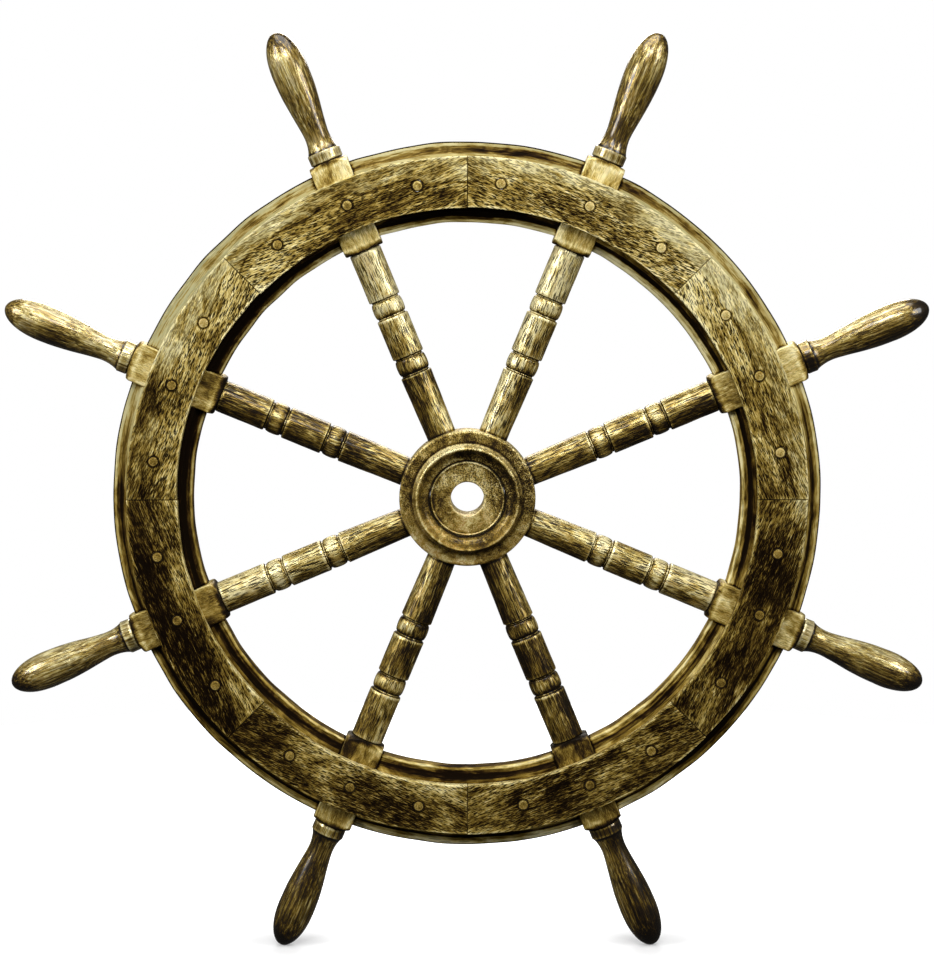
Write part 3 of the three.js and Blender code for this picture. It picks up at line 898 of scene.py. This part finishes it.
def spoke_outline():
    o = Outline()
    o.add(TENON_START, 0.02)
    o.add(TENON_START + 0.1, TENON_RADIUS - 1)
    o.add(TENON_START + 1, TENON_RADIUS)
    o.add(HUB_RADIUS + GAP - 0.1, TENON_RADIUS)
    # Painted shade where the spoke meets the hub.
    o.add(HUB_RADIUS + GAP, BARREL_AT_HUB, 0.0, 0.9)
    o.add(HUB_RADIUS + 1.2, BARREL_AT_HUB, 0.0, 0.5)
    o.add(HUB_RADIUS + 2.5, BARREL_AT_HUB)
    start = HUB_RADIUS + 4
    for bead in BEAD_STARTS:
        groove = bead - GROOVE_WIDTH
        if bead == BEAD_STARTS[0]:
            for share in np.linspace(0, 0.96, 16):
                o.add(start + (groove - start) * share, BARREL_AT_HUB + (BEAD_RADIUS - BARREL_AT_HUB) * share)
            # A worn edge, then painted shade in the crease before the groove.
            o.add(groove - 0.7, BARREL_RADIUS - 0.2, 1.0, 0.0)
            o.add(groove, BARREL_RADIUS - 1.1, 0.0, 1.0)
        else:
            o.barrel(start, groove, BARREL_RADIUS, BARREL_RADIUS)
        o.groove(groove, bead)
        o.bead(bead, bead + BEAD_LENGTH)
        start = bead + BEAD_LENGTH + GROOVE_WIDTH
        o.groove(bead + BEAD_LENGTH, start)
    o.barrel(start, BLOCK_START - 0.3, BARREL_RADIUS, BARREL_RADIUS)
    # Painted shade in the crease at the block's foot.
    o.add(BLOCK_START - 0.1, BARREL_RADIUS - 1.2, 0.0, 1.0)
    o.block()
    # Painted shade in the crease between the block and the collar.
    o.add(BLOCK_END + 0.15, COLLAR_RADIUS - 1.6, 0.0, 1.0)
    o.barrel(COLLAR_START, COLLAR_END, COLLAR_RADIUS - 0.1, COLLAR_RADIUS)
    o.grip()
    return np.array(o.points)


BARREL_ENDS = (HUB_RADIUS, *BEAD_STARTS, BLOCK_START)
BARREL_MIDDLES = [(start + end) / 2 for start, end in zip(BARREL_ENDS, BARREL_ENDS[1:])]


def spoke_rows(outline, k):
    """Rows of points round each point of the outline, in the spoke's frame. The block's are square, those at
    the hub follow its curve, and the turned ones are a little uneven."""
    corner = math.atan2(BLOCK_THICKNESS, BLOCK_WIDTH)
    angles = set(np.round(np.arange(0, 360, 5) * math.pi / 180, 6))
    for quarter in (corner, math.pi - corner, math.pi + corner, 2 * math.pi - corner):
        angles |= {round(quarter + d, 6) for d in (-0.035, -0.012, 0.012, 0.035)}
    angles = np.array(sorted(angles))
    to_side = np.abs(np.cos(angles)) / (BLOCK_WIDTH / 2)
    to_face = np.abs(np.sin(angles)) / (BLOCK_THICKNESS / 2)
    square = (to_side**SQUARENESS + to_face**SQUARENESS) ** (-1 / SQUARENESS)
    hub = HUB_RADIUS + GAP
    rows = []
    for at, radius, _, _ in outline:
        in_block = BLOCK_START <= at <= BLOCK_END
        radii = np.minimum(radius, square) if in_block else np.full(len(angles), radius)
        if not in_block and TENON_START + 2 < at < TIP_RADIUS - 2:
            place = np.full(len(angles), at * 0.08)
            radii = radii + 0.12 * wavy(place, np.cos(angles) * 1.2 + 20, SPOKE_SEED + k)
        across = radii * np.cos(angles)
        fade = np.clip(1 - (at - HUB_RADIUS) / 7, 0, 1) if at > TENON_START + 2 else 0
        out = np.full(len(angles), at) + (np.sqrt(hub**2 - np.clip(across, -hub, hub) ** 2) - hub) * fade
        rows.append(np.stack([out, across, radii * np.sin(angles)], 1))
    return np.array(rows)


def spoke(k):
    name = f"spoke_{k + 1}"
    outline = spoke_outline()
    rows = spoke_rows(outline, k)
    shape = from_spoke_frame(rows.reshape(-1, 3), spoke_angle(k)).reshape(rows.shape)
    piece = grid_object(f"look_{name}", shape)
    bored(piece, [peg_hole(f"spoke_peg_{k + 1}")])
    local = in_spoke_frame(points_of(piece), spoke_angle(k))
    at = local[:, 0]
    in_block = (at > BLOCK_START + 0.2) & (at < BLOCK_END - 0.2)
    on_grip = at > COLLAR_START
    clockwise = np.clip(local[:, 1] / 10, -1, 1)
    lift = lift_of(piece)

    gold_and_light = np.interp(at, BARREL_MIDDLES, [values[k] for values in BARREL_GOLD])
    gold_and_light = gold_and_light + clockwise * np.interp(at, BARREL_MIDDLES, [values[k] for values in BARREL_TILT])
    gold_and_light[at > BLOCK_START - 0.2] = INNER_BLOCK_GOLD[k]
    gold_and_light[at > (BLOCK_START + BLOCK_END) / 2] = OUTER_BLOCK_GOLD[k]
    gold_and_light[at > COLLAR_START - 0.3] = COLLAR_GOLD[k]
    gold_and_light = np.where(at > COLLAR_END + 0.3, GRIP_GOLD[k] + GRIP_TILT[k] * clockwise, gold_and_light)
    # Painted light and shade: lighter where a barrel or grip faces up and darker where it faces down.
    barrel_painted_light = BARREL_PAINTED_TOP_LIGHT * np.tanh(BARREL_PAINTED_LIGHT_STEEPNESS * lift)
    gold_and_light = gold_and_light - SPOKE_LESS_GOLD + np.where(on_grip, GRIP_PAINTED_TOP_LIGHT * lift, barrel_painted_light)

    gloss = np.where(in_block, 0.5, np.where(on_grip, 1.0, 0.35))
    near_rim = np.minimum(np.abs(at - FACE_INNER), np.abs(at - FACE_OUTER))
    to_corner = np.minimum(BLOCK_WIDTH / 2 - np.abs(local[:, 1]), BLOCK_THICKNESS / 2 - np.abs(local[:, 2]))
    wear_and_highlight = np.interp(at, outline[:, 0], outline[:, 2]) * 0.8 + in_block * ridge(to_corner - 1.2, 1.0) * 0.5
    # Painted shade: the blocks are darker where the rim's faces meet them.
    dirt_and_shade = np.interp(at, outline[:, 0], outline[:, 3]) + in_block * ridge(near_rim, 1.2) * 0.7
    paint(piece, local + k * SPOKE_APART, gold_and_light, wear_and_highlight, dirt_and_shade, gloss)
    finished(piece, SPOKE_WOOD, name)
    piece.data.materials.append(BLOCK_WOOD)
    piece.data.materials.append(GRIP_WOOD)
    for face in piece.data.polygons:
        at = in_spoke_frame(np.array([face.center]) / MM, spoke_angle(k))[0, 0]
        face.material_index = 2 if at > BLOCK_END else 1 if at > BLOCK_START else 0


# -------- the hub


def socket_cutters(sides=32):
    """Cutters for the sockets that the spokes' tenons stand in."""
    radius = TENON_RADIUS * 1.02
    turns = np.arange(sides) * 2 * math.pi / sides
    rings = [[(at, radius * math.cos(a), radius * math.sin(a)) for a in turns]
             for at in (TENON_START - GAP, HUB_RADIUS + CUTTER_REACH)]
    flat = np.array(rings).reshape(-1, 3)
    placed = [from_spoke_frame(flat, spoke_angle(i)) for i in range(SPOKES)]
    return [grid_object("cutter", points.reshape(2, sides, 3)) for points in placed]


def hub_piece(node, profile, gold_round, wear_and_highlight_at, dirt_and_shade_at, tools=(), sides=144):
    """A turned piece of the hub from a closed profile of (radius, depth), with tools cut out of it.
    wear_and_highlight_at and dirt_and_shade_at are (radius, width, amount), of wear with painted highlights
    and of dirt with painted shade."""
    piece = grid_object(f"look_{node}", lathe_rows(profile, sides), join_rows=True)
    if tools:
        bored(piece, tools)
    points = points_of(piece)
    radius, angle = polar(points)
    wear_and_highlight = sum(ridge(radius - r, width) * amount for r, width, amount in wear_and_highlight_at)
    dirt_and_shade = sum(ridge(radius - r, width) * amount for r, width, amount in dirt_and_shade_at)
    # Painted light and shade: lighter where the hub faces up and darker where it faces down.
    gold_and_light = round_the_wheel(gold_round, angle) + HUB_PAINTED_TOP_LIGHT * lift_of(piece)
    # Painted light: the bore's wall is pale all round.
    gold_and_light = np.where(radius < BORE_RADIUS + 0.1, BORE_PAINTED_LIGHT, gold_and_light)
    paint(piece, points[:, [1, 0, 2]] + HUB_APART, gold_and_light, wear_and_highlight, dirt_and_shade, round_the_wheel(HUB_SMOOTH, angle))
    finished(piece, HUB_WOOD, node, 24)


def hub_core():
    bore = BOSS_RADIUS + GAP * 2
    corners = [(bore, -HUB_HALF), (HUB_RADIUS, -HUB_HALF), (HUB_RADIUS, HUB_HALF), (bore, HUB_HALF)]
    outline = rounded(corners, [0.0, CORE_ROUND, CORE_ROUND, 0.0], 6)
    profile = []
    for here, after in zip(outline, outline[1:] + outline[:1]):
        profile += divided(here, after, max(1, round(math.dist(here, after) / 1.6)))
    wear_and_highlight = [(HUB_RADIUS - 1.2, 1.2, 0.3)]
    # Painted shade on the core beside the foot of the ring.
    dirt_and_shade = [(RING_OUTER + 0.3, 0.8, 0.8)]
    hub_piece("hub_core", profile, HUB_CORE_GOLD, wear_and_highlight, dirt_and_shade, socket_cutters())


def hub_ring(side, step=0.8):
    """side is front or rear. The ring rises from the core to a crest, and inside the crest it is dished."""
    sign = -1 if side == "front" else 1
    base = HUB_HALF + 0.05
    outside = [(0.0, base + 0.1), (0.3, base + 2.2), (1.0, base + 3.2), (2.0, base + 7.0),
               (3.2, RING_TOP - 0.8), (4.4, RING_TOP)]
    dish = [(RING_OUTER - 5.6, RING_TOP - 0.35), (RING_OUTER - 6.8, RING_TOP - 2.2),
            (RING_OUTER - 9.0, base + 3.8), (RING_INNER + 3.8, base + 1.4), (RING_INNER + 0.1, base + 0.8)]
    rise = smooth_curve([(RING_OUTER - inset, y) for inset, y in outside], step)
    profile = [(r, sign * y) for r, y in rise + smooth_curve(dish, step) + [(RING_INNER, base)]]
    wear_and_highlight = [(RING_OUTER - 4.6, 1.0, 0.8), (RING_OUTER - 1.0, 0.6, 0.4)]
    # Painted shade at the ring's foot, where it meets the boss, and a little in its dish.
    dirt_and_shade = [(RING_OUTER + 0.1, 0.5, 0.7), (RING_INNER + 0.2, 1.0, 0.9), (RING_OUTER - 8.5, 3.0, 0.2)]
    hub_piece(f"hub_{side}_ring", profile, HUB_RING_GOLD, wear_and_highlight, dirt_and_shade)


def hub_boss():
    """The boss: a rounded mouth of the bore, a flat face, and a low lip round its edge."""
    mouth = BORE_RADIUS + BORE_ROUND, BOSS_HALF - BORE_ROUND
    half = [(BORE_RADIUS, BOSS_HALF / 2)] + arc(mouth, BORE_ROUND, 180, 90, 6)
    half += [(r, BOSS_HALF) for r in np.arange(BORE_RADIUS + 3, BOSS_RADIUS - 2.4, 1.5)]
    rise = BOSS_LIP * 0.7
    lip = [(2.0, 0.0), (1.6, rise), (1.1, BOSS_LIP), (0.6, rise), (0.3, -0.2), (0.0, -0.8)]
    half += [(BOSS_RADIUS - inset, BOSS_HALF + height) for inset, height in lip]
    half += [(BOSS_RADIUS, BOSS_HALF / 2)]
    profile = half + [(r, -y) for r, y in half[::-1]]
    wear_and_highlight = [(BOSS_RADIUS - 1.1, 0.6, 0.6), (BORE_RADIUS + 0.9, 0.9, 0.4)]
    # Painted shade inside the boss's lip and where it meets the ring.
    dirt_and_shade = [(BOSS_RADIUS - 2.3, 0.6, 0.3), (BOSS_RADIUS + 0.1, 0.4, 0.9)]
    hub_piece("hub_boss", profile, HUB_BOSS_GOLD, wear_and_highlight, dirt_and_shade)


# -------- the studio

# The photo's viewpoint, in metres.
CAMERA_AT = (-0.0118, -2.437, 0.2764)
CAMERA_AIM = (-0.0003, 0.0, 0.0155)
LENS = 99.8
SENSOR = 36.0
FLOOR_RADIUS = 1.2
FLOOR_SIDES = 96
FLOOR_GREY = 0.6
FLOOR_ROUGHNESS = 0.8
# How brightly the floor glows at a grip's tip and away from it, and the distances where that changes.
FLOOR_GLOW = (0.27, 0.95)
SHADOW_REACH = (0.02, 0.11)
ROOM_LIGHT = 0.06
ROOM_TINT = (1.0, 0.99, 0.97, 1)
# Each softbox has a name, a place, a width and a height in metres, and a power in watts. All face the hub.
SOFTBOXES = [
    ("overhead", (0.0, -0.25, 1.5), 1.6, 1.0, 20),
    ("left", (-1.9, -1.3, 1.0), 0.9, 1.1, 36),
    ("right", (1.9, -1.3, 1.0), 0.9, 1.1, 28),
    ("front", (0.0, -2.2, 1.9), 1.5, 0.8, 44),
    ("behind", (0.0, 2.2, 1.3), 1.6, 0.8, 36),
]


def aimed(name, data, place, aim=(0, 0, 0)):
    thing = added(name, data)
    thing.location = place
    thing.rotation_mode = "QUATERNION"
    thing.rotation_quaternion = (Vector(aim) - Vector(place)).to_track_quat("-Z", "Y")
    return thing


def camera():
    made = bpy.data.cameras.new("camera")
    made.lens = LENS
    made.sensor_width = SENSOR
    made.clip_end = 100
    bpy.context.scene.camera = aimed("camera", made, CAMERA_AT, CAMERA_AIM)


def softbox(name, place, width, height, power):
    lamp = bpy.data.lights.new(name, "AREA")
    lamp.shape = "RECTANGLE"
    lamp.size, lamp.size_y = width, height
    lamp.energy = power
    aimed(name, lamp, place)


def stage_floor():
    """A plain pale floor. It glows white, less near the two grips that stand on it, so that their shadows
    show, and throws no light back up at the wheel."""
    angles = np.arange(FLOOR_SIDES) * 2 * math.pi / FLOOR_SIDES
    edge = [(FLOOR_RADIUS * math.cos(a), FLOOR_RADIUS * math.sin(a), 0) for a in angles]
    mesh = bpy.data.meshes.new("floor")
    mesh.from_pydata(edge, [], [list(range(FLOOR_SIDES))])
    floor = added("floor", mesh)
    floor.location.z = cad_box[0].z
    s = Shader("floor")
    place = s.node("TexCoord").outputs["Object"]
    across, along, _ = s.node("SeparateXYZ", {"Vector": place}).outputs
    grip_at = TIP_RADIUS * MM * math.sin(math.radians(PITCH / 2))
    from_grip = s.maths("SUBTRACT", s.maths("ABSOLUTE", across), grip_at)
    away = s.maths("SQRT", s.total(s.maths("POWER", from_grip, 2.0), s.maths("POWER", along, 2.0)))
    s.coated({
        "Base Color": (FLOOR_GREY, FLOOR_GREY, FLOOR_GREY, 1),
        "Roughness": FLOOR_ROUGHNESS,
        "Emission Color": (1, 1, 1, 1),
        "Emission Strength": s.window(away, *SHADOW_REACH, *FLOOR_GLOW),
    })
    mesh.materials.append(s.material)
    floor.visible_diffuse = False
    floor.visible_glossy = False


def white_surroundings():
    """The camera sees plain white all round. The light that it gives the wheel is dimmer."""
    world = bpy.data.worlds.new("studio")
    bpy.context.scene.world = world
    world.use_nodes = True
    tree = world.node_tree
    seen = tree.nodes["Background"]
    seen.inputs["Color"].default_value = (1, 1, 1, 1)
    seen.inputs["Strength"].default_value = 1.0
    light = tree.nodes.new("ShaderNodeBackground")
    light.inputs["Color"].default_value = ROOM_TINT
    light.inputs["Strength"].default_value = ROOM_LIGHT
    path = tree.nodes.new("ShaderNodeLightPath")
    choice = tree.nodes.new("ShaderNodeMixShader")
    tree.links.new(path.outputs["Is Camera Ray"], choice.inputs[0])
    tree.links.new(light.outputs[0], choice.inputs[1])
    tree.links.new(seen.outputs[0], choice.inputs[2])
    tree.links.new(choice.outputs[0], tree.nodes["World Output"].inputs[0])


def studio():
    stage_floor()
    white_surroundings()
    for settings in SOFTBOXES:
        softbox(*settings)
    bpy.context.scene.view_settings.view_transform = "Standard"


# -------- everything in its place

camera()
studio()
for k in range(SPOKES):
    spoke(k)
    middle_felloe(k)
    face_felloe("front", k)
    face_felloe("rear", k)
    peg(f"joint_peg_{k + 1}a")
    peg(f"joint_peg_{k + 1}b")
    peg(f"spoke_peg_{k + 1}")
hub_core()
hub_ring("front")
hub_ring("rear")
hub_boss()
